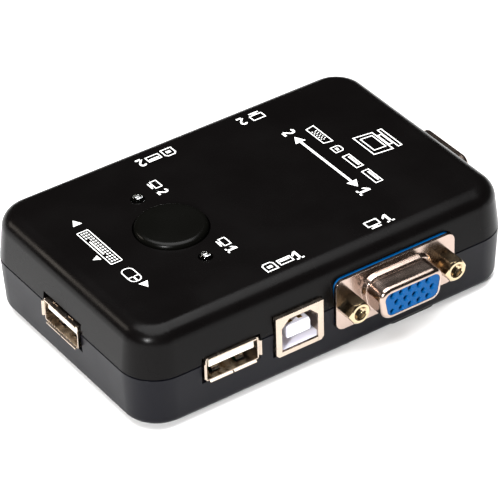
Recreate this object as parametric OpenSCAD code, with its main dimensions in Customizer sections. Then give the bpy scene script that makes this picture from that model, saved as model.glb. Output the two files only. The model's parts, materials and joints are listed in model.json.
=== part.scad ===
// Two-computer KVM switch box.
// Z = 0 is the underside of the rubber feet. The front long side faces -Y.
// A case of two halves holds a board, a push button, two lamps and eight sockets.

/* [Case] */
// Length at the seam
case_length = 95; // [90:0.5:120]
// Width at the seam
case_width = 62; // [58:0.5:80]
// Height of the top cover above the seam
top_height = 11; // [10:0.1:14]
// Height of the bottom cover below the seam
bottom_height = 12.3; // [11:0.1:15]
// Corner radius at the seam
corner_radius = 8.6; // [7:0.1:10.5]
// How far the top cover's sides lean in over its height
top_draft = 1.28; // [0:0.01:2]
// How far the bottom cover's sides lean in over its height
bottom_draft = 0.71; // [0:0.01:2]
// Radius of the soft edge round the top
top_edge = 4; // [2.5:0.1:5]
// Radius of the edge round the underside
bottom_edge = 1.6; // [0.5:0.1:2]
// Height of each cover's chamfer at the seam
seam_chamfer = 0.2; // [0.05:0.05:0.5]
// Depth of the groove that the two chamfers make
seam_groove = 0.5; // [0.2:0.05:0.8]
// Wall thickness
wall = 2; // [1.5:0.1:2.5]
// Height of the inner lip above the seam
lip_height = 1.5; // [1:0.1:2.5]
// Thickness of the inner lip
lip_t = 0.9; // [0.6:0.1:1.2]
// Gap between the lip and the top cover
lip_gap = 0.12; // [0.05:0.01:0.3]

/* [Feet] */
// Side of a square foot
foot_side = 12.8; // [8:0.1:16]
// Corner radius of a foot
foot_corner = 1.8; // [0.5:0.1:4]
// How far the feet stand below the case
foot_show = 1.5; // [1:0.1:3]
// Depth of the pocket that a foot is stuck in
foot_pocket = 0.5; // [0.2:0.1:1]
// Gap round a foot in its pocket
foot_gap = 0.2; // [0.1:0.05:0.5]
// Distance of each foot's centre from the middle, along the length
foot_x = 22.3; // [15:0.1:30]
// Distance of the right feet's centres from the case's side at the seam
foot_inset_right = 9.2; // [9:0.1:14]
// Distance of the left feet's centres from the case's side at the seam
foot_inset_left = 10.4; // [9:0.1:14]

/* [Board and screws] */
// Thickness of the circuit board
board_t = 1.6; // [1:0.1:2]
// Gap between the board and the case walls
board_gap = 0.9; // [0.3:0.1:2]
// Height of the posts that the board stands on
board_post = 2.3; // [2:0.1:4]
// Outside of the top cover's screw posts
post_d = 5.6; // [5:0.1:7]
// Outside of the bottom cover's screw posts
foot_post_d = 7; // [6.6:0.1:8]
// Gap between a screw post and the lip at a corner
post_gap = 0.4; // [0.2:0.1:1]
// Outside of the screw thread
screw_d = 2.6; // [2.2:0.1:3]
// Core of the screw, between its threads
screw_core = 2; // [1.6:0.1:2.4]
// Pitch of the screw thread
screw_pitch = 1; // [0.6:0.1:1.4]
// Hole that the thread cuts into
pilot_d = 2.2; // [2:0.1:2.6]
// Length of the screw below its head
screw_length = 12; // [9:0.5:16]
// Screw head across
head_d = 5; // [4:0.1:6]
// Screw head height
head_h = 1.4; // [1:0.1:2]
// Depth of the screw head's pocket
head_pocket = 1.8; // [1.4:0.1:2.5]
// Gap round a screw and its head
screw_gap = 0.3; // [0.2:0.05:0.5]
// Hole in the board for a thin leg
leg_hole_d = 1; // [0.9:0.05:1.3]
// How far legs stand out under the board
leg_out = 1; // [0.5:0.1:1.5]

/* [Places of the ports] */
// From the left side to the middle of the USB-A sockets
usb_a_from_left = 21.5; // [20:0.1:25]
// From the USB-A middle to the USB-B middle
usb_a_to_usb_b = 16.7; // [16:0.1:20]
// From the USB-B middle to the D connector's middle
usb_b_to_vga = 24.7; // [23.5:0.1:28]

/* [15-pin D connector] */
// Height of its middle above the board
vga_height = 6.5; // [6.4:0.1:8]
// How far its flange stands out of the case
vga_proud = 0.5; // [0:0.1:1]
// How much further in the back and right connectors are set
vga_set_in = 1.3; // [0.8:0.1:1.6]
// Middle of the right side's connector, towards the back from the case's middle
vga_right_along = -0.9; // [-2:0.1:2]
// Flange width
flange_w = 30.8; // [30:0.1:32]
// Flange height
flange_h = 12.5; // [12:0.1:13]
// Flange corner radius
flange_corner = 2; // [1:0.1:3]
// Flange thickness
flange_t = 0.8; // [0.5:0.1:1]
// Gap between the flange and the case
flange_gap = 0.15; // [0.1:0.05:0.4]
// Jackscrew spacing
jack_spacing = 24.99; // [24.99:0.01:25]
// D shell width
d_width = 16.33; // [16.2:0.01:16.5]
// D shell height
d_height = 7.9; // [7.8:0.01:8.1]
// D shell corner radius
d_corner = 2.6; // [2:0.1:3]
// Slope of the D shell's sides
d_slope = 10; // [10:1:10]
// D shell length in front of the flange
d_length = 5.9; // [5.5:0.1:6.2]
// D shell wall
d_wall = 0.4; // [0.3:0.05:0.6]
// Radius of the D shell's front edge
d_edge = 1.1; // [0.8:0.1:1.3]
// How far the collar at the foot of the D shell stands round it
collar_out = 0.5; // [0.3:0.05:0.7]
// Length of the collar
collar_length = 1.1; // [0.6:0.1:1.5]
// Gap between the D shell and the insulator
d_gap = 0.05; // [0.02:0.01:0.1]
// Pins from middle to middle in a row
pin_pitch = 2.29; // [2.29:0.01:2.29]
// Rows from middle to middle
row_pitch = 1.98; // [1.98:0.01:1.98]
// Outside of a socket contact
contact_d = 1.1; // [1:0.05:1.2]
// Hole in a socket contact
contact_bore = 0.7; // [0.6:0.05:0.8]
// Entry hole in front of a contact
entry_d = 0.95; // [0.9:0.05:1]
// Width of the funnel at an entry hole
funnel_d = 1.6; // [1.3:0.05:1.8]
// Side of a square contact leg
leg_side = 0.6; // [0.4:0.05:0.7]
// Gap round contacts in an insulator
contact_gap = 0.04; // [0.02:0.01:0.1]
// Depth of the insulator's ears behind the flange
ear_depth = 5.6; // [5.4:0.1:6]
// How much smaller the ears are than the flange, all round
ear_inset = 0.2; // [0.1:0.05:0.6]
// Depth of the insulator's middle behind the flange
block_depth = 7.4; // [6.5:0.1:9]
// Width of the insulator's middle behind the ears
block_width = 18.4; // [17:0.1:19]
// Step between the rows of legs
leg_step = 1.5; // [1.3:0.1:2]
// Boardlock barrel outside
barrel_d = 5; // [4.5:0.1:5.5]
// Boardlock leg width
lock_leg = 2.2; // [1.8:0.1:2.6]
// Boardlock leg thickness
lock_leg_t = 0.6; // [0.4:0.1:0.8]
// Jackscrew hexagon across its flats
hex_af = 4.75; // [4.5:0.05:5]
// Jackscrew length in front of the flange
hex_length = 4.7; // [4.4:0.1:6]
// Jackscrew stud diameter
stud_d = 2.8; // [2.7:0.05:2.85]
// Diameter of the holes the stud goes through
stud_hole = 3.2; // [3.2:0.05:3.6]
// Jackscrew bore, at the outside of its thread
jack_bore = 2.84; // [2.8:0.01:2.9]
// Depth of the jackscrew's bore
jack_depth = 4.3; // [3.5:0.1:5]
// Clearance on the diameter round the stud
stud_gap = 0.1; // [0.05:0.05:0.3]

/* [USB-B] */
// Height of its middle above the board
usb_b_height = 5.2; // [5.1:0.1:6]
// Shell width
usb_b_w = 12; // [11.8:0.1:12.2]
// Shell height
usb_b_h = 10; // [9.8:0.1:10.4]
// Chamfer on the shell's lower corners
usb_b_corner = 0.7; // [0.4:0.1:1]
// Opening width
usb_b_open_w = 9.1; // [8.6:0.1:9.2]
// Opening height
usb_b_open_h = 7.9; // [7.6:0.1:8.1]
// Chamfer on the opening's upper corners
usb_b_chamfer = 1.9; // [1.4:0.1:2]
// Shell depth
usb_b_depth = 15; // [14:0.1:17]
// Depth of the opening
usb_b_hollow = 9; // [8.6:0.1:9.5]
// Tongue width
usb_b_tongue_w = 5.5; // [5.3:0.1:5.7]
// Tongue height
usb_b_tongue_h = 3.1; // [3:0.1:3.3]
// Tongue's distance behind the front
usb_b_tongue_back = 0.3; // [0.2:0.1:1.5]
// Gap between the shell and the case
usb_b_gap = 0.25; // [0.15:0.05:0.4]

/* [USB-A] */
// Height of its middle above the board
usb_a_height = 4.9; // [4.5:0.1:6]
// Shell width
usb_a_w = 13.1; // [12.9:0.1:13.3]
// Shell height
usb_a_h = 5.7; // [5.5:0.1:5.9]
// Shell depth
usb_a_depth = 14; // [13:0.1:16]
// How far the lips flare out at the sides
lip_flare = 0.55; // [0.3:0.05:0.8]
// How far the lips flare out at the bottom
low_flare = 0.35; // [0.2:0.05:0.5]
// Depth of the flared lips
flare_depth = 1; // [0.6:0.1:1.4]
// Height of a side lip
side_lip = 3.7; // [3:0.1:4.5]
// Tongue width
usb_a_tongue_w = 11.1; // [10.9:0.1:11.3]
// Tongue thickness
usb_a_tongue_t = 1.84; // [1.8:0.01:1.9]
// Gap between the tongue and the shell's top
usb_a_tongue_gap = 0.4; // [0.3:0.05:0.6]
// Tongue's distance behind the front
usb_a_tongue_back = 0.8; // [0.6:0.1:2]
// Depth of the opening
usb_a_hollow = 9.4; // [9:0.1:10]
// Gap between the flared lips and the case
usb_a_gap = 0.15; // [0.1:0.05:0.4]
// Gap above the front and back sockets
usb_a_head = 0.25; // [0.2:0.05:1]
// Gap above the left socket
usb_a_left_head = 1; // [0.2:0.05:1.2]
// How far both kinds of USB socket stand out of the case
usb_proud = 0.6; // [0:0.1:1]
// Sheet metal of the USB shells
sheet_t = 0.3; // [0.25:0.05:0.4]
// Gap between a USB shell and its insulator
usb_fit = 0.05; // [0.02:0.01:0.1]

/* [Button and switch] */
// From the left side to the middle of the button
button_from_left = 27.8; // [26:0.1:34]
// Button diameter
button_d = 15.9; // [12:0.1:20]
// How far the button stands above the case
button_rise = 1.1; // [1:0.1:3]
// Radius of the button's edge
button_edge = 1.1; // [0.4:0.1:1.6]
// Gap round the button in its hole
button_gap = 0.3; // [0.15:0.05:0.5]
// How far the button's rim reaches outside its wall
button_rim = 1; // [0.7:0.1:1.5]
// Thickness of the button's top and wall
button_wall = 1.6; // [1.2:0.1:2]
// Thickness of the button's rim
button_rim_t = 1.2; // [0.8:0.1:2]
// How far the button moves down
button_travel = 1.6; // [1:0.1:2.2]
// Free gap at each of the button's stops
stop_gap = 0.15; // [0.05:0.05:0.3]
// Side of the switch housing
switch_side = 8.5; // [8:0.1:9]
// Height of the switch housing
switch_height = 8.5; // [8:0.1:9]
// Wall of the switch housing
switch_wall = 0.8; // [0.6:0.1:1]
// Side of the plunger's stem
stem_side = 3.2; // [3:0.1:3.6]
// Side of the plunger's collar
collar_side = 6.4; // [6:0.1:6.6]
// Thickness of the plunger's collar
collar_t = 1.2; // [1:0.1:1.5]
// Length of stem inside the cap's socket
socket_depth = 3; // [2:0.1:4]
// Gap round the stem and the collar
slide_gap = 0.1; // [0.05:0.01:0.2]
// Wire of the return spring
spring_wire = 0.4; // [0.3:0.05:0.5]
// Middle diameter of the return spring
spring_d = 4.4; // [3.8:0.1:5]
// Turns of the return spring
spring_turns = 4.5; // [3:0.5:5]

/* [Lamps] */
// Lamp diameter
led_d = 3; // [2.9:0.1:3.1]
// Lamp length
led_length = 5.3; // [4.8:0.1:5.6]
// How far a lamp stands above the case
led_rise = 1; // [0.5:0.1:1.4]
// Gap round a lamp in its hole
led_gap = 0.1; // [0.05:0.05:0.3]
// Distance from the button's edge to each lamp's middle
led_from_button = 4.9; // [4.4:0.1:8]
// Lamp rim diameter
led_rim_d = 3.8; // [3.6:0.1:4]
// Spacing of a lamp's two legs
led_legs = 2.54; // [2.54:0.01:2.54]
// Outside of the tube that holds a lamp up
tube_d = 5; // [4.6:0.1:6]
// Bore of the tube that holds a lamp up
tube_bore = 3.5; // [3.2:0.1:4]

/* [Hidden] */
$fn = 64;
// Extra length of a cut beyond the face it opens
over = 1;
// Facets round a case corner, and steps along a soft edge
corner_fn = 64;
edge_steps = 8;
// Facets and steps of the D shell's rounded parts
shell_fn = 40;
shell_steps = 5;

black = [0.07, 0.07, 0.075];
metal = [0.72, 0.68, 0.63];
blue = [0.02, 0.24, 0.6];
ivory = [0.9, 0.88, 0.82];
pale = [0.85, 0.84, 0.9];
brass = [0.8, 0.62, 0.3];
green = [0.05, 0.3, 0.12];
clear = [0.9, 0.95, 1, 0.5];

// Heights
seam_z = foot_show + bottom_height;
top_z = seam_z + top_height;
ceiling_z = top_z - wall;
floor_z = foot_show + wall;
board_z = floor_z + board_post;
board_top = board_z + board_t;

// The case is set so that the whole object's box is centred on X = 0 and Y = 0
case_x = (usb_proud + vga_set_in - vga_proud - d_length) / 2;
case_y = vga_set_in / 2;

// Insets from the outline at the seam
top_lean = atan(top_draft / top_height);
arc_inset = (top_edge + (top_height - top_edge) * sin(top_lean)) / cos(top_lean);
top_inset = wall + top_draft * (top_height - top_edge) / top_height;
bottom_inset = wall + bottom_draft * (bottom_height - wall) / bottom_height;
lip_out = top_inset + lip_gap;
lip_in = lip_out + lip_t;
post_inset = corner_radius - (corner_radius - lip_in - post_d / 2 - post_gap) / sqrt(2);
post_x = case_length / 2 - post_inset;
post_y = case_width / 2 - post_inset;
screw_hole_d = screw_d + 2 * screw_gap;

// Places along the front, from the case's middle
usb_a_x = usb_a_from_left - case_length / 2;
usb_b_x = usb_a_x + usb_a_to_usb_b;
vga_x = usb_b_x + usb_b_to_vga;
button_x = button_from_left - case_length / 2;

// Button and switch heights
cap_top = top_z + button_rise;
rim_top = ceiling_z - stop_gap;
rim_bottom = rim_top - button_rim_t;
housing_top = board_top + switch_height;
collar_top = housing_top - switch_wall - stop_gap;
collar_bottom = collar_top - collar_t;
spring_floor = board_top + switch_wall;
ledge_z = collar_bottom - button_travel - stop_gap;
spring_bore = spring_d + spring_wire + 0.8;
stem_top = cap_top - button_wall - 0.8;
socket_bottom = stem_top - socket_depth;
led_base = top_z + led_rise - led_length;
led_apart = button_d / 2 + led_from_button;

// D connector
row_shift = pin_pitch / 4;
insert_front = d_length - 0.05;
contact_base = 0.4;
contact_length = d_length - 2;
leg_reach = flange_t + block_depth + leg_side;
lock_from_back = 1;
lock_y = flange_t - vga_proud + ear_depth - lock_from_back;

// Switch pins, and the tabs, strips and fingers of the USB sockets
switch_pin_x = 2.5;
switch_pin_pitch = 2.5;
tab_w = 1.6;
tab_y = 7;
strip = [1, 0.25];
usb_b_pin_x = 1.25;
usb_a_leg_y = usb_a_depth - usb_proud + 0.2;
finger_w = 1.8;
finger_x = 3;
leaf_h = 2.4;

// Parts on the board: chips [x, y, length, width], from the case's middle
chip_places = [[vga_x - 10, -9.5], [vga_x - 10, 9.5]];
chip_size = [10.3, 7.5, 2.3];
chip_leg_count = 8;
flat_chip = [vga_x + 8, 0];
flat_size = [10, 10, 1.4];
flat_leg_count = 11;
cap_places = [[vga_x - 15, 0], [vga_x - 5, 0]];
cap_size = [5, 6];
crystal_place = [vga_x + 8, 9.8];
crystal_size = [10.5, 4.4, 3.5];
resistor_x = usb_b_x + 1.3;
resistor_count = 8;
resistor_step = 3;
resistor_size = [2, 1.25, 0.5];

// ---------- shared shapes ----------

module round_rect(w, h, r) {
    square([w - 2 * r, h], center = true);
    square([w, h - 2 * r], center = true);
    for (x = [-1, 1], y = [-1, 1])
        translate([x * (w / 2 - r), y * (h / 2 - r)]) circle(r);
}

// A rounded slab that follows the case outline, set in from it
module inset_slab(inset, height) {
    linear_extrude(height)
        round_rect(case_length - 2 * inset, case_width - 2 * inset, max(0.5, corner_radius - inset));
}

// A box centred in X and Y that stands on Z = 0
module block(size) {
    translate([-size[0] / 2, -size[1] / 2, 0]) cube(size);
}

module at_corners(x, y) {
    for (sx = [-1, 1], sy = [-1, 1]) translate([case_x + sx * x, case_y + sy * y, 0]) children();
}

// Side of a drafted shell with a soft outer edge, as [radius, height] round a corner
function shell_profile(height, draft, edge) =
    let (lean = atan(draft / height),
         arc_x = corner_radius - (edge + (height - edge) * sin(lean)) / cos(lean))
    concat(
        [[0, 0], [corner_radius - seam_groove, 0], [corner_radius - seam_chamfer * tan(lean), seam_chamfer]],
        [for (i = [0 : edge_steps])
            let (a = lean + (90 - lean) * i / edge_steps)
            [arc_x + edge * cos(a), height - edge + edge * sin(a)]],
        [[0, height]]);

module shell_solid(height, draft, edge) {
    hull()
        for (sx = [-1, 1], sy = [-1, 1])
            translate([sx * (case_length / 2 - corner_radius), sy * (case_width / 2 - corner_radius), 0])
                rotate_extrude($fn = corner_fn) polygon(shell_profile(height, draft, edge));
}

// Puts a socket on a side: its own -Y faces out, Y = 0 is the case side and Z = 0 the board's top
module on_side(side, along = 0, back = 0) {
    turn = side == "front" ? 0 : side == "back" ? 180 : side == "right" ? 90 : -90;
    place = side == "front" ? [along, -case_width / 2] :
            side == "back" ? [along, case_width / 2] :
            side == "right" ? [case_length / 2, along] : [-case_length / 2, along];
    translate([case_x + place[0], case_y + place[1], board_top])
        rotate(turn) translate([0, back, 0]) children();
}

module on_right_side() on_side("right", vga_right_along, vga_set_in) children();

module on_vga_sides() {
    on_side("front", vga_x) children();
    on_side("back", vga_x, vga_set_in) children();
    on_right_side() children();
}

module on_usb_b_sides() {
    on_side("front", usb_b_x) children();
    on_side("back", usb_b_x) children();
}

module on_usb_a_sides() {
    on_side("front", usb_a_x) children();
    on_side("back", usb_a_x) children();
    on_side("left") children();
}

// Turns a drawing so that its Z points out of the socket, from a face at that depth and height
module facing(out, height) {
    translate([0, -out, height]) rotate([90, 0, 0]) children();
}

// ---------- case ----------

// The opening for a USB-A socket, with that much room above it
module usb_a_opening(reach, head) {
    w = usb_a_w / 2 + lip_flare + usb_a_gap;
    low = usb_a_h / 2 + low_flare + usb_a_gap;
    facing(-reach, usb_a_height) linear_extrude(reach + over + usb_proud)
        translate([-w, -low]) square([2 * w, low + usb_a_h / 2 + head]);
}

module port_openings() {
    reach = lip_in + over;
    on_vga_sides() facing(-reach, vga_height)
        linear_extrude(reach + over + vga_proud + vga_set_in)
            round_rect(flange_w + 2 * flange_gap, flange_h + 2 * flange_gap, flange_corner + flange_gap);
    on_usb_b_sides() facing(-reach, usb_b_height)
        linear_extrude(reach + over + usb_proud)
            square([usb_b_w + 2 * usb_b_gap, usb_b_h + 2 * usb_b_gap], center = true);
    on_side("front", usb_a_x) usb_a_opening(reach, usb_a_head);
    on_side("back", usb_a_x) usb_a_opening(reach, usb_a_head);
    on_side("left") usb_a_opening(reach, usb_a_left_head);
}

module top_cover() color(black) difference() {
    union() {
        difference() {
            translate([case_x, case_y, seam_z]) shell_solid(top_height, top_draft, top_edge);
            translate([case_x, case_y, seam_z - over]) inset_slab(top_inset, top_height - top_edge + over);
            translate([case_x, case_y, seam_z]) inset_slab(arc_inset, top_height - wall);
        }
        at_corners(post_x, post_y) translate([0, 0, board_top])
            cylinder(h = ceiling_z - board_top + wall / 2, d = post_d);
    }
    translate([case_x + button_x, case_y, ceiling_z - over])
        cylinder(h = wall + 2 * over, d = button_d + 2 * button_gap);
    for (y = [-1, 1]) translate([case_x + button_x, case_y + y * led_apart, ceiling_z - over])
        cylinder(h = wall + 2 * over, d = led_d + 2 * led_gap);
    at_corners(post_x, post_y) translate([0, 0, board_top - over])
        cylinder(h = screw_length - board_post + over, d = pilot_d);
    port_openings();
}

module foot_places() {
    for (y = [-1, 1]) {
        translate([case_x + foot_x, case_y + y * (case_width / 2 - foot_inset_right), 0]) children();
        translate([case_x - foot_x, case_y + y * (case_width / 2 - foot_inset_left), 0]) children();
    }
}

module bottom_cover() color(black) difference() {
    union() {
        difference() {
            translate([case_x, case_y, seam_z]) mirror([0, 0, 1])
                shell_solid(bottom_height, bottom_draft, bottom_edge);
            translate([case_x, case_y, floor_z]) inset_slab(bottom_inset, bottom_height);
        }
        translate([case_x, case_y, seam_z - 2 * lip_height]) difference() {
            union() {
                inset_slab(bottom_inset - wall / 4, 2 * lip_height);
                inset_slab(lip_out, 3 * lip_height);
            }
            translate([0, 0, -over]) inset_slab(lip_in, 3 * lip_height + 2 * over);
        }
        at_corners(post_x, post_y) translate([0, 0, floor_z - wall / 2])
            cylinder(h = board_post + wall / 2, d = foot_post_d);
    }
    at_corners(post_x, post_y) {
        cylinder(h = board_top, d = screw_hole_d);
        cylinder(h = foot_show + head_pocket, d = head_d + 2 * screw_gap);
    }
    foot_places() linear_extrude(foot_show + foot_pocket)
        round_rect(foot_side + 2 * foot_gap, foot_side + 2 * foot_gap, foot_corner + foot_gap);
    port_openings();
}

module rubber_feet() color(black)
    foot_places() linear_extrude(foot_show + foot_pocket)
        round_rect(foot_side, foot_side, foot_corner);

// One screw, its head's seat at Z = 0 and its shank up
module case_screw() {
    core = screw_core / 2;
    crest = screw_d / 2;
    turns = floor((screw_length - 1.5) / screw_pitch);
    difference() {
        translate([0, 0, -head_h]) cylinder(h = head_h, d1 = head_d - 0.8, d2 = head_d);
        for (a = [0, 90]) rotate(a) translate([0, 0, -head_h - over]) block([2.8, 0.6, over + 0.8]);
    }
    rotate_extrude() polygon(concat(
        [[0, 0], [core, 0]],
        [for (i = [0 : turns - 1], p = [[core, 0.2], [crest, 0.5], [core, 0.8]])
            [p[0], 0.5 + (i + p[1]) * screw_pitch]],
        [[core, screw_length - 0.8], [0.3, screw_length], [0, screw_length]]));
}

module case_screws() color(metal)
    at_corners(post_x, post_y) translate([0, 0, foot_show + head_pocket]) case_screw();

// ---------- board ----------

module leg_hole(x, y) {
    translate([x, y, -board_t - over]) cylinder(h = board_t + 2 * over, d = leg_hole_d, $fn = 24);
}

module circuit_board() color(green) difference() {
    translate([case_x, case_y, board_z]) inset_slab(bottom_inset + board_gap, board_t);
    at_corners(post_x, post_y) cylinder(h = top_z, d = screw_hole_d);
    on_vga_sides() {
        for (row = [0 : 2], k = [0 : 4]) leg_hole(pin_x(row, k), pin_leg_y(row));
        for (x = [-1, 1]) translate([x * jack_spacing / 2, lock_y, -board_t - over])
            block([lock_leg + 0.4, lock_leg_t + 0.4, board_t + 2 * over]);
    }
    on_usb_b_sides() {
        for (x = [-1, 1], row = [0, 1]) leg_hole(x * usb_b_pin_x, usb_b_leg_y(row));
        for (x = [-1, 1]) leg_hole_slot(x * (usb_b_w - sheet_t) / 2, tab_y);
    }
    on_usb_a_sides() {
        for (i = [0 : 3]) leg_hole(usb_a_pin_x(i), usb_a_leg_y);
        for (x = [-1, 1]) leg_hole_slot(x * (usb_a_w - sheet_t) / 2, tab_y);
    }
    translate([case_x + button_x, case_y, board_top]) {
        for (x = [-1, 1], y = [-1, 0, 1]) leg_hole(x * switch_pin_x, y * switch_pin_pitch);
        for (x = [-1, 1], y = [-1, 1]) leg_hole(x * led_legs / 2, y * led_apart);
    }
}

// A round hole for a shell's tab
module leg_hole_slot(x, y) {
    translate([x, y, -board_t - over]) cylinder(h = board_t + 2 * over, d = tab_w + 0.4);
}

module switching_chips() color(black) translate([case_x, case_y, board_top]) {
    for (p = chip_places) translate([p[0], p[1], 0.1])
        block([chip_size[0], chip_size[1], chip_size[2] - 0.1]);
    translate([flat_chip[0], flat_chip[1], 0.1]) block([flat_size[0], flat_size[1], flat_size[2] - 0.1]);
}

// A bent leg from a chip's side at Y = 0 out to Y = reach and down to the board
module gull_leg(width, reach, shoulder) {
    t = 0.2;
    translate([-width / 2, 0, 0]) rotate([90, 0, 90]) linear_extrude(width) polygon([
        [0, shoulder - t], [reach * 0.35, shoulder - t], [reach * 0.45, 0], [reach, 0],
        [reach, t], [reach * 0.45 + t, t], [reach * 0.35 + t, shoulder], [0, shoulder]]);
}

module chip_legs() color(metal) translate([case_x, case_y, board_top]) {
    for (p = chip_places, side = [0, 180]) translate([p[0], p[1], 0]) rotate(side)
        for (i = [0 : chip_leg_count - 1])
            translate([(i - (chip_leg_count - 1) / 2) * 1.27, chip_size[1] / 2, 0]) gull_leg(0.4, 1.4, 1.2);
    for (side = [0 : 90 : 270]) translate([flat_chip[0], flat_chip[1], 0]) rotate(side)
        for (i = [0 : flat_leg_count - 1])
            translate([(i - (flat_leg_count - 1) / 2) * 0.8, flat_size[1] / 2, 0]) gull_leg(0.3, 1, 0.8);
}

module crystal() color(metal)
    translate([case_x + crystal_place[0], case_y + crystal_place[1], board_top])
    linear_extrude(crystal_size[2]) round_rect(crystal_size[0], crystal_size[1], crystal_size[1] / 2 - 0.01);

module capacitors() color([0.1, 0.1, 0.25]) translate([case_x, case_y, board_top])
    for (p = cap_places) translate([p[0], p[1], 0]) rotate_extrude() polygon([
        [0, 0], [cap_size[0] / 2, 0], [cap_size[0] / 2, 0.7], [cap_size[0] / 2 - 0.25, 1],
        [cap_size[0] / 2, 1.3], [cap_size[0] / 2, cap_size[1] - 0.3], [cap_size[0] / 2 - 0.3, cap_size[1]],
        [0, cap_size[1]]]);

module resistors() color(black) translate([case_x + resistor_x, case_y, board_top])
    for (i = [0 : resistor_count - 1])
        translate([0, (i - (resistor_count - 1) / 2) * resistor_step, 0]) block(resistor_size);

// ---------- button, switch and lamps ----------

module at_button() translate([case_x + button_x, case_y, 0]) children();

module button_cap() color(black) at_button() difference() {
    union() {
        translate([0, 0, rim_bottom]) rotate_extrude($fn = 128) button_section();
        translate([0, 0, socket_bottom]) cylinder(h = cap_top - button_wall - socket_bottom + 0.5, d = 7);
    }
    translate([0, 0, socket_bottom - over]) block([stem_side, stem_side, socket_depth + over]);
}

// Half section of the cap: a cup with a rim and a soft upper edge
module button_section() {
    r = button_d / 2;
    h = cap_top - rim_bottom;
    difference() {
        union() {
            square([r - button_edge, h]);
            square([r, h - button_edge]);
            translate([r - button_edge, h - button_edge]) intersection() {
                circle(button_edge);
                square(button_edge);
            }
            square([r + button_rim, button_rim_t]);
        }
        translate([-over, -over]) square([r - button_wall + over, h - button_wall + over]);
    }
}

module switch_housing() color([0.12, 0.12, 0.14]) at_button() difference() {
    translate([0, 0, board_top]) block([switch_side, switch_side, switch_height]);
    translate([0, 0, ledge_z])
        block([collar_side + 2 * slide_gap, collar_side + 2 * slide_gap,
               housing_top - switch_wall - ledge_z]);
    translate([0, 0, spring_floor]) cylinder(h = ledge_z - spring_floor + over / 2, d = spring_bore);
    translate([0, 0, housing_top - switch_wall - over])
        block([stem_side + 2 * slide_gap, stem_side + 2 * slide_gap, switch_wall + 2 * over]);
}

module switch_plunger() color([0.85, 0.85, 0.85]) at_button() {
    translate([0, 0, collar_bottom]) block([collar_side, collar_side, collar_t]);
    translate([0, 0, collar_top]) block([stem_side, stem_side, stem_top - collar_top]);
}

// A coil of round wire, as rings of points along a helix that is closed at both ends
module switch_spring() color(metal) at_button() translate([0, 0, spring_floor]) {
    sides = 8;
    steps = round(spring_turns * 24);
    low = spring_wire / 2;
    rise = collar_bottom - spring_floor - spring_wire;
    points = [for (i = [0 : steps], j = [0 : sides - 1])
        let (a = 360 * spring_turns * i / steps,
             r = spring_d / 2 + spring_wire / 2 * cos(360 * j / sides),
             z = low + rise * i / steps + spring_wire / 2 * sin(360 * j / sides))
        [r * cos(a), r * sin(a), z]];
    skin = [for (i = [0 : steps - 1], j = [0 : sides - 1])
        let (k = (j + 1) % sides)
        [i * sides + j, i * sides + k, (i + 1) * sides + k, (i + 1) * sides + j]];
    ends = [[for (j = [sides - 1 : -1 : 0]) j], [for (j = [0 : sides - 1]) steps * sides + j]];
    polyhedron(points, concat(skin, ends), convexity = 10);
}

module switch_pins() color(brass) at_button() translate([0, 0, board_z - leg_out])
    for (x = [-1, 1], y = [-1, 0, 1])
        translate([x * switch_pin_x, y * switch_pin_pitch, 0]) block([0.6, 0.3, board_t + leg_out]);

// Die cup and post inside a lamp, with its two legs
module led_frame(grow, foot) {
    half = leg_side / 2 - 0.05 + grow;
    for (x = [-1, 1]) translate([x * led_legs / 2 - half, -half, foot])
        cube([2 * half, 2 * half, led_base + 1.6 - foot + grow]);
    translate([0.25 - grow, -half, led_base + 1.4 - grow])
        cube([led_legs / 2 - 0.25 + half, 2 * half, 1.2 + 2 * grow]);
    translate([-led_legs / 2 - half, -half, led_base + 1.4 - grow])
        cube([0.9 + 2 * grow, 2 * half, 0.9 + 2 * grow]);
}

module led_lens(side) color(clear) at_button() translate([0, side * led_apart, 0]) difference() {
    translate([0, 0, led_base]) {
        cylinder(h = 1, d = led_rim_d);
        cylinder(h = led_length - led_d / 2, d = led_d);
        translate([0, 0, led_length - led_d / 2]) intersection() {
            sphere(d = led_d);
            cylinder(h = led_d, d = led_d + over);
        }
    }
    led_frame(0.02, led_base - over);
}

module led_front() led_lens(-1);
module led_back() led_lens(1);

module led_legs() color(metal) at_button()
    for (y = [-1, 1]) translate([0, y * led_apart, 0]) led_frame(0, board_z - leg_out);

module led_tubes() color([0.9, 0.9, 0.88]) at_button()
    for (y = [-1, 1]) translate([0, y * led_apart, board_top]) difference() {
        cylinder(h = led_base - board_top, d = tube_d);
        translate([0, 0, -over]) cylinder(h = led_base - board_top + 2 * over, d = tube_bore);
    }

// ---------- 15-pin D connector ----------

// One corner post of the D shell: its radius at the foot and at the front, and its front edge's radius
module d_post(foot, radius, length, edge) {
    rotate_extrude($fn = shell_fn) polygon(concat([[0, 0], [foot, 0]],
        [for (i = [0 : shell_steps]) let (a = 90 * i / shell_steps)
            [radius - edge + edge * cos(a), length - edge + edge * sin(a)]],
        [[0, length]]));
}

// A D-shaped solid, wide side up, on Z = 0; its sides stand inset from the D shell's outside
module d_solid(inset, length, edge = 0.01, flare = 0) {
    top_x = d_width / 2 - d_corner;
    drop = d_height - 2 * d_corner;
    r = d_corner - inset;
    hull() for (s = [-1, 1]) {
        translate([s * top_x, drop / 2, 0]) d_post(r + flare, r, length, edge);
        translate([s * (top_x - drop * tan(d_slope)), -drop / 2, 0]) d_post(r + flare, r, length, edge);
    }
}

// Contact places: row 0 is the top one
function pin_x(row, k) = pin_pitch * (k - 2) + (row == 1 ? row_shift : -row_shift);
function pin_z(row) = row_pitch * (1 - row);
function pin_leg_y(row) = leg_reach - vga_proud + leg_step * (2 - row);

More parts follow.
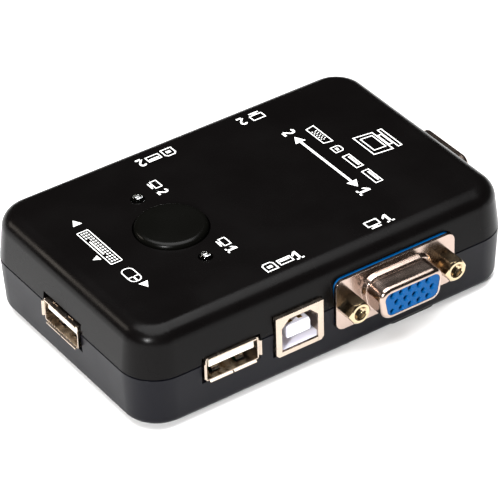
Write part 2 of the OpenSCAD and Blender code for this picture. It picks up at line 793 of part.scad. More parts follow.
module vga_shell() color(metal) facing(vga_proud, vga_height) difference() {
    union() {
        translate([0, 0, -flange_t]) linear_extrude(flange_t) round_rect(flange_w, flange_h, flange_corner);
        d_solid(-collar_out, collar_length, 0.2, 0.3);
        d_solid(0, d_length, d_edge);
    }
    translate([0, 0, -flange_t - over])
        d_solid(d_wall, d_length + flange_t + over - d_wall, d_edge - d_wall);
    translate([0, 0, -over]) d_solid(d_edge, d_length + 2 * over);
    for (x = [-1, 1]) translate([x * jack_spacing / 2, 0, -flange_t - over])
        cylinder(h = flange_t + 2 * over, d = stud_hole);
}

module vga_insert() color(blue) facing(vga_proud, vga_height) difference() {
    inner = d_wall + d_gap;
    foot = 2;
    union() {
        translate([0, 0, -flange_t]) d_solid(inner, d_length + flange_t - inner, d_edge - inner);
        d_solid(d_edge + d_gap, insert_front);
        translate([0, 0, -flange_t - ear_depth]) linear_extrude(ear_depth)
            round_rect(flange_w - 2 * ear_inset, flange_h - 2 * ear_inset, flange_corner);
        translate([-block_width / 2, -d_height / 2, -flange_t - block_depth])
            cube([block_width, d_height, block_depth]);
        translate([-block_width / 2, -vga_height, -flange_t - block_depth])
            cube([block_width, vga_height, block_depth - ear_depth + foot]);
    }
    for (row = [0 : 2], k = [0 : 4]) translate([pin_x(row, k), pin_z(row), 0]) {
        translate([0, 0, contact_base - contact_gap])
            cylinder(h = contact_length + 2 * contact_gap, d = contact_d + 2 * contact_gap, $fn = 32);
        translate([0, 0, contact_base]) cylinder(h = d_length, d = entry_d, $fn = 32);
        translate([0, 0, insert_front - 0.35]) cylinder(h = 0.4, d1 = entry_d, d2 = funnel_d, $fn = 32);
        translate([0, 0, -flange_t - block_depth - over])
            block([leg_side + 2 * contact_gap, leg_side + 2 * contact_gap,
                   flange_t + block_depth + over + contact_base]);
    }
    for (x = [-1, 1]) translate([x * jack_spacing / 2, 0, -flange_t - ear_depth]) {
        translate([0, 0, -over]) cylinder(h = ear_depth + 2 * over, d = barrel_d + stud_gap);
        translate([-lock_leg / 2 - stud_gap, -vga_height - over, lock_from_back - lock_leg_t / 2 - stud_gap])
            cube([lock_leg + 2 * stud_gap, vga_height + over, lock_leg_t + 2 * stud_gap]);
    }
}

module vga_contacts() color(brass) facing(vga_proud, vga_height)
    for (row = [0 : 2], k = [0 : 4]) translate([pin_x(row, k), pin_z(row), 0]) {
        back = pin_leg_y(row) + vga_proud;
        difference() {
            translate([0, 0, contact_base]) cylinder(h = contact_length, d = contact_d, $fn = 32);
            translate([0, 0, contact_base + 1]) cylinder(h = d_length, d = contact_bore, $fn = 32);
        }
        translate([0, 0, -back - leg_side / 2])
            block([leg_side, leg_side, back + leg_side / 2 + contact_base]);
        translate([-leg_side / 2, -vga_height - board_t - leg_out - pin_z(row), -back - leg_side / 2])
            cube([leg_side, vga_height + board_t + leg_out + pin_z(row), leg_side]);
    }

module vga_boardlocks() color(metal) facing(vga_proud, vga_height)
    for (x = [-1, 1]) translate([x * jack_spacing / 2, 0, -flange_t - ear_depth]) difference() {
        union() {
            cylinder(h = ear_depth, d = barrel_d);
            translate([-lock_leg / 2, -vga_height - board_t - leg_out, lock_from_back - lock_leg_t / 2])
                cube([lock_leg, vga_height + board_t + leg_out, lock_leg_t]);
        }
        translate([0, 0, -over]) cylinder(h = ear_depth + 2 * over, d = stud_hole);
    }

module vga_jackscrews() color(metal) facing(vga_proud, vga_height)
    for (x = [-1, 1]) translate([x * jack_spacing / 2, 0, 0]) {
        translate([0, 0, -flange_t - ear_depth + 0.4]) cylinder(h = flange_t + ear_depth - 0.3, d = stud_d);
        difference() {
            intersection() {
                linear_extrude(hex_length) polygon([for (a = [0 : 60 : 300])
                    hex_af / 2 / cos(30) * [cos(a), sin(a)]]);
                rotate_extrude() polygon([[0, 0], [hex_af * 0.6, 0], [hex_af * 0.6, hex_length - 0.6],
                                          [hex_af * 0.46, hex_length], [0, hex_length]]);
            }
            translate([0, 0, hex_length - jack_depth]) cylinder(h = jack_depth + over, d = jack_bore);
            translate([0, 0, hex_length - 0.25]) cylinder(h = 0.3, d1 = jack_bore, d2 = jack_bore + 0.6);
        }
    }

// ---------- USB-B ----------

function usb_b_leg_y(row) = usb_b_depth - usb_proud - 1.6 * row - 0.5;

// The opening of a USB-B socket, upper corners cut off
module usb_b_opening() {
    w = usb_b_open_w / 2;
    h = usb_b_open_h / 2;
    c = usb_b_chamfer;
    polygon([[-w, -h], [w, -h], [w, h - c], [w - c, h], [c - w, h], [-w, h - c]]);
}

// Outside of the USB-B shell, lower corners cut off
module usb_b_outline() {
    w = usb_b_w / 2;
    h = usb_b_h / 2;
    c = usb_b_corner;
    polygon([[c - w, -h], [w - c, -h], [w, c - h], [w, h], [-w, h], [-w, c - h]]);
}

module usb_b_shell() color(metal) facing(usb_proud, usb_b_height) {
    front_t = 2 * sheet_t;
    inner = usb_b_w / 2 - sheet_t;
    difference() {
        translate([0, 0, -usb_b_depth]) linear_extrude(usb_b_depth) usb_b_outline();
        translate([-inner, -usb_b_h / 2 + 2 * sheet_t, -usb_b_depth - over])
            cube([2 * inner, usb_b_h - 3 * sheet_t, usb_b_depth + over - front_t]);
        translate([-inner, -usb_b_h / 2 - over, -usb_b_depth - over])
            cube([2 * inner, usb_b_h / 2 + over, usb_b_depth - usb_b_hollow - front_t + over]);
        translate([0, 0, -usb_b_depth]) linear_extrude(usb_b_depth + over) usb_b_opening();
    }
    for (x = [-1, 1]) {
        translate([x * (usb_b_w - sheet_t) / 2 - sheet_t / 2,
                   -usb_b_height - board_t - leg_out, -tab_y - usb_proud - tab_w / 2])
            cube([sheet_t, usb_b_height + board_t + leg_out - 2, tab_w]);
        scale([x, 1, 1]) translate([0, usb_b_open_h / 2 - 1, 0]) rotate([90, 0, 0])
            linear_extrude(leaf_h) polygon(leaf_points(inner));
    }
}

// A spring leaf bent in from a side wall: [across, out]
function leaf_points(inner) = [[inner + 0.1, -6.6], [inner + 0.1, -6.2], [inner - 0.7, -2.6],
    [inner - 0.4, -1.6], [inner - 0.6, -1.5], [inner - 1, -2.6], [inner - 0.2, -6.6]];

module usb_b_insert() color(pale) facing(usb_proud, usb_b_height) {
    front_t = 2 * sheet_t;
    in_w = usb_b_w - 2 * (sheet_t + usb_fit);
    low = usb_b_h / 2 - 2 * sheet_t - usb_fit;
    high = usb_b_h / 2 - sheet_t - usb_fit;
    back = usb_b_depth - 2.6;
    difference() {
        union() {
            translate([-in_w / 2, -low, -back]) cube([in_w, low + high, back - usb_b_hollow - front_t]);
            translate([-in_w / 2, -low, -back])
                cube([in_w, low - usb_b_open_h / 2, back - front_t - usb_fit]);
            translate([-in_w / 2, -usb_b_height, -back])
                cube([in_w, usb_b_height, back - usb_b_hollow - front_t - usb_fit]);
            usb_b_tongue();
        }
        usb_b_strips(contact_gap);
    }
}

module usb_b_tongue() {
    w = usb_b_tongue_w / 2;
    h = usb_b_tongue_h / 2;
    front = -usb_b_tongue_back;
    intersection() {
        translate([-w, -h, -usb_b_hollow - over]) cube([2 * w, 2 * h, usb_b_hollow + over + front]);
        translate([w + over, 0, 0]) rotate([0, -90, 0]) linear_extrude(2 * (w + over)) polygon([
            [-usb_b_hollow - 2, -h], [front - 0.5, -h], [front, -h + 0.5],
            [front, h - 0.5], [front - 0.5, h], [-usb_b_hollow - 2, h]]);
    }
}

// Contact strips on both faces of the tongue, with legs down to the board
module usb_b_strips(grow) {
    w = strip[0] / 2 + grow;
    for (row = [0, 1], x = [-1, 1]) {
        z = (row == 0 ? 1 : -1) * (usb_b_tongue_h / 2 - strip[1] / 2 + 0.08);
        back = usb_b_leg_y(row) + usb_proud;
        t = strip[1] / 2 + grow;
        front = usb_b_tongue_back + 1.4;
        translate([x * usb_b_pin_x - w, z - t, -back - t]) cube([2 * w, 2 * t, back - front + t + grow]);
        translate([x * usb_b_pin_x - leg_side / 2 - grow, -usb_b_height - board_t - leg_out, -back - t])
            cube([leg_side + 2 * grow, z + usb_b_height + board_t + leg_out, 2 * t]);
    }
}

module usb_b_contacts() color(brass) facing(usb_proud, usb_b_height) usb_b_strips(0);

// ---------- USB-A ----------

function usb_a_pin_x(i) = [-3.5, -1, 1, 3.5][i];

module usb_a_shell() color(metal) facing(usb_proud, usb_a_height) {
    w = usb_a_w / 2;
    h = usb_a_h / 2;
    step = 0.4;
    difference() {
        union() {
            translate([0, 0, -usb_a_depth]) linear_extrude(usb_a_depth - step) round_rect(2 * w, 2 * h, 0.6);
            translate([-w + 0.6, h - sheet_t, -usb_a_depth]) cube([2 * w - 1.2, sheet_t, usb_a_depth]);
        }
        translate([-w + sheet_t, -h + sheet_t, -usb_a_depth - over])
            cube([2 * (w - sheet_t), 2 * (h - sheet_t), usb_a_depth + 2 * over]);
        translate([-w + sheet_t, -h - over, -usb_a_depth - over])
            cube([2 * (w - sheet_t), h + over, usb_a_depth - usb_a_hollow + over]);
        for (x = [-1, 1]) translate([x * finger_x - finger_w / 2 - 0.15, -h - over, -6.6])
            cube([finger_w + 0.3, 1 + over, 4.6]);
    }
    for (x = [-1, 1]) {
        scale([x, 1, 1]) translate([0, side_lip / 2, 0]) rotate([90, 0, 0]) linear_extrude(side_lip)
            polygon(flare(w - sheet_t, lip_flare));
        translate([x > 0 ? 0.15 : -5.75, 0, 0]) rotate([90, 0, 90]) linear_extrude(5.6)
            scale([-1, 1]) polygon(flare(h - sheet_t, low_flare));
        translate([x * finger_x - finger_w / 2, -h, 0]) rotate([90, 0, 90]) linear_extrude(finger_w)
            polygon(finger_points);
        translate([x * finger_x - finger_w / 2, h - 0.1, -3]) cube([finger_w, 0.25, 2]);
        translate([x * (w - sheet_t / 2) - sheet_t / 2, -usb_a_height - board_t - leg_out,
                   -tab_y - usb_proud - tab_w / 2])
            cube([sheet_t, usb_a_height + board_t + leg_out - 1, tab_w]);
    }
}

// A lip that flares out over flare_depth: [across, out] from a wall's inner face
function flare(inner, out) = [[inner, -flare_depth - 0.3], [inner + sheet_t, -flare_depth - 0.3],
    [inner + sheet_t, -flare_depth], [inner + sheet_t + out, -0.15],
    [inner + sheet_t + out, 0], [inner + out + 0.05, 0], [inner, -flare_depth + 0.2]];

// A bottom spring finger from the side: [up, out]
finger_points = [[0, -6.8], [sheet_t, -6.8], [1.2, -3.4], [1.35, -2.9], [1.2, -2.4], [0.7, -2.1],
    [0.55, -2.25], [0.95, -2.6], [1, -3], [0, -6.4]];

module usb_a_insert() color(ivory) facing(usb_proud, usb_a_height) {
    in_w = usb_a_w - 2 * (sheet_t + usb_fit);
    in_h = usb_a_h - 2 * (sheet_t + usb_fit);
    back = usb_a_depth - 0.4;
    tongue_top = usb_a_h / 2 - sheet_t - usb_a_tongue_gap;
    difference() {
        union() {
            translate([-in_w / 2, -in_h / 2, -back]) cube([in_w, in_h, back - usb_a_hollow]);
            translate([-in_w / 2, -usb_a_height, -back])
                cube([in_w, usb_a_height, back - usb_a_hollow - usb_fit]);
            translate([-usb_a_tongue_w / 2, tongue_top - usb_a_tongue_t, -usb_a_hollow - over])
                cube([usb_a_tongue_w, usb_a_tongue_t, usb_a_hollow + over - usb_a_tongue_back]);
        }
        usb_a_strips(contact_gap);
    }
}

module usb_a_strips(grow) {
    w = strip[0] / 2 + grow;
    t = strip[1] / 2 + grow;
    z = usb_a_h / 2 - sheet_t - usb_a_tongue_gap - usb_a_tongue_t + strip[1] / 2 - 0.08;
    back = usb_a_leg_y + usb_proud;
    for (i = [0 : 3]) {
        front = usb_a_tongue_back + (i % 3 == 0 ? 1 : 2);
        translate([usb_a_pin_x(i) - w, z - t, -back - t]) cube([2 * w, 2 * t, back - front + t + grow]);
        translate([usb_a_pin_x(i) - leg_side / 2 - grow, -usb_a_height - board_t - leg_out, -back - t])
            cube([leg_side + 2 * grow, z + usb_a_height + board_t + leg_out, 2 * t]);
    }
}

module usb_a_contacts() color(brass) facing(usb_proud, usb_a_height) usb_a_strips(0);

// ---------- nodes ----------

top_cover();
bottom_cover();
case_screws();
rubber_feet();
circuit_board();
button_cap();
switch_housing();
switch_plunger();
switch_spring();
switch_pins();
led_front();
led_back();
led_legs();
led_tubes();
switching_chips();
chip_legs();
crystal();
capacitors();
resistors();
on_side("front", vga_x) vga_shell();  // vga_front_shell
on_side("front", vga_x) vga_insert();  // vga_front_insert
on_side("front", vga_x) vga_contacts();  // vga_front_contacts
on_side("front", vga_x) vga_boardlocks();  // vga_front_boardlocks
on_side("front", vga_x) vga_jackscrews();  // vga_front_jackscrews
on_side("back", vga_x, vga_set_in) vga_shell();  // vga_back_shell
on_side("back", vga_x, vga_set_in) vga_insert();  // vga_back_insert
on_side("back", vga_x, vga_set_in) vga_contacts();  // vga_back_contacts
on_side("back", vga_x, vga_set_in) vga_boardlocks();  // vga_back_boardlocks
on_side("back", vga_x, vga_set_in) vga_jackscrews();  // vga_back_jackscrews
on_right_side() vga_shell();  // vga_right_shell
on_right_side() vga_insert();  // vga_right_insert
on_right_side() vga_contacts();  // vga_right_contacts
on_right_side() vga_boardlocks();  // vga_right_boardlocks
on_right_side() vga_jackscrews();  // vga_right_jackscrews
on_side("front", usb_b_x) usb_b_shell();  // usb_b_front_shell
on_side("front", usb_b_x) usb_b_insert();  // usb_b_front_insert
on_side("front", usb_b_x) usb_b_contacts();  // usb_b_front_contacts
on_side("back", usb_b_x) usb_b_shell();  // usb_b_back_shell
on_side("back", usb_b_x) usb_b_insert();  // usb_b_back_insert
on_side("back", usb_b_x) usb_b_contacts();  // usb_b_back_contacts
on_side("front", usb_a_x) usb_a_shell();  // usb_a_front_shell
on_side("front", usb_a_x) usb_a_insert();  // usb_a_front_insert
on_side("front", usb_a_x) usb_a_contacts();  // usb_a_front_contacts
on_side("back", usb_a_x) usb_a_shell();  // usb_a_back_shell
on_side("back", usb_a_x) usb_a_insert();  // usb_a_back_insert
on_side("back", usb_a_x) usb_a_contacts();  // usb_a_back_contacts
on_side("left") usb_a_shell();  // usb_a_left_shell
on_side("left") usb_a_insert();  // usb_a_left_insert
on_side("left") usb_a_contacts();  // usb_a_left_contacts
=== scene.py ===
# %% [markdown]
# # A two-computer KVM switch
#
# This lesson dresses a small black desktop box: a moulded plastic case with a push button, two clear
# lamps, and D-type and USB sockets on its sides. The measured model comes first, from the frame. Then
# come the camera, the materials, the pieces whose shape needs finer work, and the light.

# %% Load the frame
import json
import math

import bmesh
import bpy
from mathutils import Matrix, Vector


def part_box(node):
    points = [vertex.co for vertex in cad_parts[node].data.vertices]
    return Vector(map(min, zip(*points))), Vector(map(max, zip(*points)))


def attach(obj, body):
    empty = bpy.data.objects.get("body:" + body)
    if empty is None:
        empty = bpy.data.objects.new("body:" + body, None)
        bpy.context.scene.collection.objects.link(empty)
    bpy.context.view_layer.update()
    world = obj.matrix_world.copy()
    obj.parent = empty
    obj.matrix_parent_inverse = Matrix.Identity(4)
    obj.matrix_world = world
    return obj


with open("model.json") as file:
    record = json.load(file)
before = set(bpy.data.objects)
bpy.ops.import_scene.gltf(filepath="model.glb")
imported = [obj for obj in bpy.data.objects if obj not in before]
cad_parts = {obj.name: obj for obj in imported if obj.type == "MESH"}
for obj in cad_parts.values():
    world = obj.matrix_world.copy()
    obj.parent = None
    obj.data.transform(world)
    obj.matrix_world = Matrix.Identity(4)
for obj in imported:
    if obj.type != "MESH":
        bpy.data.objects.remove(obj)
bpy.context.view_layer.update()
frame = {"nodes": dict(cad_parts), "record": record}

NODES = frame["nodes"]
MM = 0.001

# %% [markdown]
# ## The camera
#
# A product picture is taken from a long way off with a long lens, so that the box's edges stay nearly
# parallel. The camera could be aimed with a constraint, but a matrix of its three axes says exactly
# where it looks, and it needs nothing else. It stands off the box's front left corner, well above it.

# %% Place the camera
CASE_LOW, CASE_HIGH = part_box("bottom_cover")
LIP_HEIGHT = 1.5 * MM
CASE = Vector(((CASE_LOW.x + CASE_HIGH.x) / 2, (CASE_LOW.y + CASE_HIGH.y) / 2, CASE_HIGH.z - LIP_HEIGHT))
AZIMUTH, ELEVATION, ROLL = (math.radians(a) for a in (33.65, 35.92, -1.78))
STANDS_AT = Vector((-318.88, -478.92, 413.42)) * MM


def camera_axes(azimuth, elevation, roll):
    """Right, up and back of a camera that looks down at the origin."""
    right = Vector((math.cos(azimuth), -math.sin(azimuth), 0))
    back = Vector((-math.sin(azimuth) * math.cos(elevation),
                   -math.cos(azimuth) * math.cos(elevation), math.sin(elevation)))
    up = back.cross(right)
    return (right * math.cos(roll) + up * math.sin(roll),
            up * math.cos(roll) - right * math.sin(roll), back)


camera = bpy.data.objects.new("camera", bpy.data.cameras.new("camera"))
bpy.context.scene.collection.objects.link(camera)
camera.data.lens = 238.6
camera.data.sensor_width = 36
camera.data.clip_start, camera.data.clip_end = 0.05, 20
camera.matrix_world = (Matrix.Translation(CASE + STANDS_AT)
                       @ Matrix(camera_axes(AZIMUTH, ELEVATION, ROLL)).transposed().to_4x4())
bpy.context.scene.camera = camera
print("camera stands", round(STANDS_AT.length, 3), "m from the case")

# %% [markdown]
# ## Building materials from nodes
#
# Every finish below is a small graph of nodes. Writing each link by hand hides what matters, so one
# function adds a node, sets its sockets and links its inputs in a single line. Colours are written as
# the hex values that a paint chart gives, and another function turns them into linear light.

# %% Helpers for colours and nodes


def linear(hex_colour):
    """A linear colour from an sRGB hex value."""
    channels = [int(hex_colour[i:i + 2], 16) / 255 for i in (1, 3, 5)]
    return tuple(c / 12.92 if c <= 0.04045 else ((c + 0.055) / 1.055) ** 2.4 for c in channels) + (1.0,)


def add(tree, kind, settings=None, **inputs):
    """Adds a node. Settings are its own properties; inputs are values, or sockets to link from."""
    made = tree.nodes.new(kind)
    for name, value in (settings or {}).items():
        setattr(made, name, value)
    for name, value in inputs.items():
        key = int(name[1:]) if name[1:].isdigit() else name.replace("_", " ")
        if isinstance(value, bpy.types.NodeSocket):
            tree.links.new(value, made.inputs[key])
        else:
            made.inputs[key].default_value = value
    return made


def new_material(name):
    """A material with an empty graph and its output node."""
    made = bpy.data.materials.new(name)
    made.use_nodes = True
    made.node_tree.nodes.clear()
    return made, made.node_tree, made.node_tree.nodes.new("ShaderNodeOutputMaterial")


def per_metre(mm):
    """The scale of a pattern whose features are that many millimetres apart."""
    return 1 / (mm * MM)


def edge_wear(tree, radius_mm, low, high):
    """White on outer edges and black elsewhere, from how far the rounded normal leaves the true one."""
    rounded = add(tree, "ShaderNodeBevel", {"samples": 4}, Radius=radius_mm * MM)
    true = add(tree, "ShaderNodeNewGeometry")
    same = add(tree, "ShaderNodeVectorMath", {"operation": "DOT_PRODUCT"},
               _0=rounded.outputs[0], _1=true.outputs["Normal"])
    ramp = add(tree, "ShaderNodeMapRange", {"clamp": True}, Value=same.outputs["Value"],
               From_Min=high, From_Max=low, To_Min=0.0, To_Max=1.0)
    return ramp.outputs[0]


print("black plastic is", [round(c, 4) for c in linear("#141416")])

# %% [markdown]
# ## Moulded black ABS
#
# The case is ABS, injection moulded in a lightly spark-eroded tool. To the eye that is a deep neutral
# black with a very fine grain. The grain scatters most of the gloss, so the top cover's specular level
# is set low, and the bottom cover, from a coarser tool, looks a shade bluer. Real spark grain is
# about 0.06 mm across, too fine to show here, so it is drawn at 0.25 mm and kept shallow. Handling
# leaves faint, large patches where the gloss changes, so a second noise moves the roughness a little.

# %% Black ABS for the case and the button


def moulded_plastic(name, colour, roughness, grain_mm, grain_depth, patches=0.05, gloss=0.5, tint=0.1):
    """Moulded plastic: an even colour, a fine grain and slow changes of gloss."""
    material, tree, output = new_material(name)
    place = add(tree, "ShaderNodeTexCoord").outputs["Object"]
    grain = add(tree, "ShaderNodeTexNoise", Vector=place, Scale=per_metre(grain_mm), Detail=3.0,
                Roughness=0.6)
    patch = add(tree, "ShaderNodeTexNoise", Vector=place, Scale=per_metre(14), Detail=2.0, Roughness=0.5)
    dark, light = (tuple(c * k for c in linear(colour)[:3]) + (1.0,) for k in (1 - tint, 1 + tint))
    shade = add(tree, "ShaderNodeMix", {"data_type": "RGBA"}, Factor=patch.outputs["Fac"])
    shade.inputs[6].default_value, shade.inputs[7].default_value = dark, light
    rough = add(tree, "ShaderNodeMapRange", Value=patch.outputs["Fac"], From_Min=0.3, From_Max=0.7,
                To_Min=roughness - patches, To_Max=roughness + patches)
    rounded = add(tree, "ShaderNodeBevel", {"samples": 4}, Radius=0.12 * MM)
    bump = add(tree, "ShaderNodeBump", Strength=grain_depth, Distance=grain_mm * 0.3 * MM,
               Height=grain.outputs["Fac"], Normal=rounded.outputs[0])
    shader = add(tree, "ShaderNodeBsdfPrincipled", Base_Color=shade.outputs[2], Roughness=rough.outputs[0],
                 IOR=1.54, Specular_IOR_Level=gloss, Normal=bump.outputs[0])
    tree.links.new(shader.outputs[0], output.inputs["Surface"])
    return material


CASE_ABS = moulded_plastic("black_abs_fine_grain", "#060505", 0.27, 0.25, 0.1, gloss=0.06)
BASE_ABS = moulded_plastic("black_abs_coarse_grain", "#08080e", 0.4, 0.35, 0.2, gloss=0.08)
BUTTON_ABS = moulded_plastic("black_abs_button", "#050504", 0.26, 0.22, 0.06, gloss=0.08)
print("made", CASE_ABS.name, "and", BASE_ABS.name, "and", BUTTON_ABS.name)

# %% [markdown]
# ## Other plastics
#
# The D connectors' insulators are glass-filled PBT in the standard blue. The USB-B insulator is a
# bluish white and the USB-A tongues are ivory, both nylon, which is waxy, so their gloss is broader.

# %% Blue, white, ivory and black insulators
BLUE_PBT = moulded_plastic("blue_pbt", "#00487f", 0.34, 0.2, 0.06, tint=0.02, gloss=0.06)
WHITE_NYLON = moulded_plastic("bluish_white_nylon", "#ecebf8", 0.42, 0.25, 0.05, tint=0.03)
IVORY_NYLON = moulded_plastic("ivory_nylon", "#ece7d6", 0.42, 0.25, 0.05, tint=0.03)
SWITCH_PBT = moulded_plastic("black_switch_pbt", "#18181a", 0.5, 0.2, 0.1)
PLUNGER_POM = moulded_plastic("white_pom_plunger", "#d9d9d4", 0.35, 0.2, 0.05, tint=0.03)
CHIP_EPOXY = moulded_plastic("black_chip_epoxy", "#1b1b1d", 0.6, 0.15, 0.15)
SLEEVE_PVC = moulded_plastic("blue_black_shrink_sleeve", "#151a3c", 0.3, 0.3, 0.08)
print("made 7 moulded plastics")

# %% [markdown]
# ## Nickel plate
#
# The shells are pressed from steel strip and nickel plated. Nickel is a warm, slightly yellow grey.
# Rolling leaves long shallow lines in the strip, about 0.1 mm apart; here they are 0.2 mm so that
# they show. Pressed corners burnish, so the roughness drops where an edge has been worked.

# %% Nickel plate and other metals


def plated_metal(name, colour, roughness, line_mm=0.2, line_depth=0.1, along=(1, 0.08, 0.08), dull="#8d8378"):
    """Plated metal: shallow drawn lines, cloudy plating and brighter worked edges."""
    material, tree, output = new_material(name)
    place = add(tree, "ShaderNodeTexCoord").outputs["Object"]
    stretched = add(tree, "ShaderNodeMapping", {"vector_type": "POINT"}, Vector=place, Scale=along)
    lines = add(tree, "ShaderNodeTexNoise", Vector=stretched.outputs[0], Scale=per_metre(line_mm), Detail=2.0)
    cloud = add(tree, "ShaderNodeTexNoise", Vector=place, Scale=per_metre(3), Detail=3.0)
    shade = add(tree, "ShaderNodeMix", {"data_type": "RGBA"}, Factor=cloud.outputs["Fac"])
    shade.inputs[6].default_value = linear(colour)
    shade.inputs[7].default_value = tuple(
        0.8 * a + 0.2 * b for a, b in zip(linear(colour), linear(dull)))
    worn = edge_wear(tree, 0.15, 0.75, 0.98)
    flat = add(tree, "ShaderNodeMapRange", Value=cloud.outputs["Fac"], From_Min=0.3, From_Max=0.7,
               To_Min=roughness - 0.03, To_Max=roughness + 0.05)
    rough = add(tree, "ShaderNodeMath", {"operation": "MULTIPLY_ADD"}, _0=worn, _1=-0.08, _2=flat.outputs[0])
    rounded = add(tree, "ShaderNodeBevel", {"samples": 4}, Radius=0.08 * MM)
    bump = add(tree, "ShaderNodeBump", Strength=line_depth, Distance=line_mm * 0.2 * MM,
               Height=lines.outputs["Fac"], Normal=rounded.outputs[0])
    shader = add(tree, "ShaderNodeBsdfPrincipled", Base_Color=shade.outputs[2], Metallic=1.0,
                 Roughness=rough.outputs[0], Normal=bump.outputs[0])
    tree.links.new(shader.outputs[0], output.inputs["Surface"])
    return material


SHELL_NICKEL = plated_metal("nickel_plated_strip", "#a6948a", 0.18)
USB_NICKEL = plated_metal("nickel_plated_usb_shell", "#b0a294", 0.24)
JACK_NICKEL = plated_metal("nickel_plated_bar", "#b8a585", 0.16, along=(0.08, 1, 0.08))
ZINC_PLATE = plated_metal("bright_zinc_plate", "#c9c9c6", 0.28)
TIN_PLATE = plated_metal("tin_plate", "#cfcdc8", 0.3)
SPRING_STEEL = plated_metal("drawn_spring_steel", "#a9a9aa", 0.25)
GOLD_FLASH = plated_metal("gold_flashed_brass", "#d9b25c", 0.2)
print("made 7 metals")

# %% [markdown]
# ## Board, rubber and lamps
#
# The board is glass-epoxy with a green solder mask over copper tracks. The feet are matte black
# rubber. A lamp is cast in water-clear epoxy, whose refractive index of 1.55 bends what is behind it
# strongly, so it is true glass in the shader, with no colour of its own.

# %% Solder mask, rubber, clear epoxy and print


def solder_mask():
    """Green lacquer over copper tracks: a lighter green where copper lies under it."""
    material, tree, output = new_material("green_solder_mask")
    place = add(tree, "ShaderNodeTexCoord").outputs["Object"]
    tracks = add(tree, "ShaderNodeTexBrick", {"offset": 0.5, "squash": 1.0}, Vector=place,
                 Scale=per_metre(2.5), Mortar_Size=0.12, Brick_Width=1.0, Row_Height=0.5)
    shade = add(tree, "ShaderNodeMix", {"data_type": "RGBA"}, Factor=tracks.outputs["Fac"])
    shade.inputs[6].default_value, shade.inputs[7].default_value = linear("#0f4a26"), linear("#1c6b38")
    bump = add(tree, "ShaderNodeBump", Strength=0.3, Distance=0.03 * MM, Height=tracks.outputs["Fac"])
    shader = add(tree, "ShaderNodeBsdfPrincipled", Base_Color=shade.outputs[2], Roughness=0.25,
                 IOR=1.55, Normal=bump.outputs[0])
    tree.links.new(shader.outputs[0], output.inputs["Surface"])
    return material


def clear_epoxy():
    """Water-clear cast epoxy with the faint ripple that casting leaves."""
    material, tree, output = new_material("water_clear_epoxy")
    place = add(tree, "ShaderNodeTexCoord").outputs["Object"]
    ripple = add(tree, "ShaderNodeTexNoise", Vector=place, Scale=per_metre(1.2), Detail=1.0)
    bump = add(tree, "ShaderNodeBump", Strength=0.1, Distance=0.02 * MM, Height=ripple.outputs["Fac"])
    shader = add(tree, "ShaderNodeBsdfPrincipled", Base_Color=linear("#f4f7fa"), Roughness=0.04, IOR=1.55,
                 Transmission_Weight=1.0, Normal=bump.outputs[0])
    tree.links.new(shader.outputs[0], output.inputs["Surface"])
    return material


SOLDER_MASK = solder_mask()
FOOT_RUBBER = moulded_plastic("matte_black_rubber", "#121212", 0.8, 0.3, 0.3, gloss=0.3)
CLEAR_EPOXY = clear_epoxy()
TUBE_NYLON = moulded_plastic("natural_nylon_tube", "#dcdad0", 0.5, 0.3, 0.08, tint=0.03)
PRINT_INK = moulded_plastic("white_pad_print_ink", "#f1f1ef", 0.5, 0.3, 0.1, tint=0.04)
print("made board, rubber, epoxy, tube and ink")

# %% [markdown]
# ## Dressing the measured pieces
#
# Each measured piece keeps its mesh. Its facets are too many to see, but flat shading would still
# show them, so modifiers do the smoothing: the doubled corners are welded, edges sharper than 30
# degrees are split, and the normals are weighted by area so that flat faces stay flat.

# %% Give each measured piece its finish
FINISH = {
    "case_plastic": CASE_ABS, "button_plastic": BUTTON_ABS, "zinc_screw_steel": ZINC_PLATE,
    "foot_rubber": FOOT_RUBBER, "board_laminate": SOLDER_MASK, "switch_plastic": SWITCH_PBT,
    "plunger_plastic": PLUNGER_POM, "spring_steel": SPRING_STEEL, "tinned_legs": TIN_PLATE,
    "lamp_epoxy": CLEAR_EPOXY, "tube_nylon": TUBE_NYLON, "chip_epoxy": CHIP_EPOXY,
    "crystal_can": ZINC_PLATE, "capacitor_sleeve": SLEEVE_PVC, "jackscrew_nickel": JACK_NICKEL,
    "boardlock_steel": TIN_PLATE, "connector_shell_nickel": SHELL_NICKEL, "usb_shell_nickel": USB_NICKEL,
    "blue_insulator": BLUE_PBT, "pale_insulator": WHITE_NYLON, "ivory_insulator": IVORY_NYLON,
    "contact_brass": GOLD_FLASH,
}
SLOT_OF = {part["node"]: part["material_slot"] for part in frame["record"]["subparts"]}


def smooth(obj, sharp_degrees=30):
    """Smooth shading that stops at edges sharper than this."""
    obj.data.polygons.foreach_set("use_smooth", [True] * len(obj.data.polygons))
    weld = obj.modifiers.new("weld", "WELD")
    weld.merge_threshold = 0.002 * MM
    split = obj.modifiers.new("split", "EDGE_SPLIT")
    split.split_angle = math.radians(sharp_degrees)
    weigh = obj.modifiers.new("weigh", "WEIGHTED_NORMAL")
    weigh.weight = 100


for name, node in NODES.items():
    node.data.materials.clear()
    node.data.materials.append(BASE_ABS if name == "bottom_cover" else FINISH[SLOT_OF[name]])
    smooth(node)
print("dressed", len(NODES), "measured pieces in", len(FINISH), "finishes")

# %% [markdown]
# ## White marks on the top
#
# The marks are pad printed: a film of white ink 0.01 mm thick. Letters would only name a product, so
# the marks here are numerals, triangles and small pictures of the ports. Each mark is drawn as flat
# outlines in its own millimetres, with X along its line and Y up, and then laid on the top cover.

# %% Draw the marks
TOP_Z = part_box("top_cover")[1].z
INK = 0.012 * MM


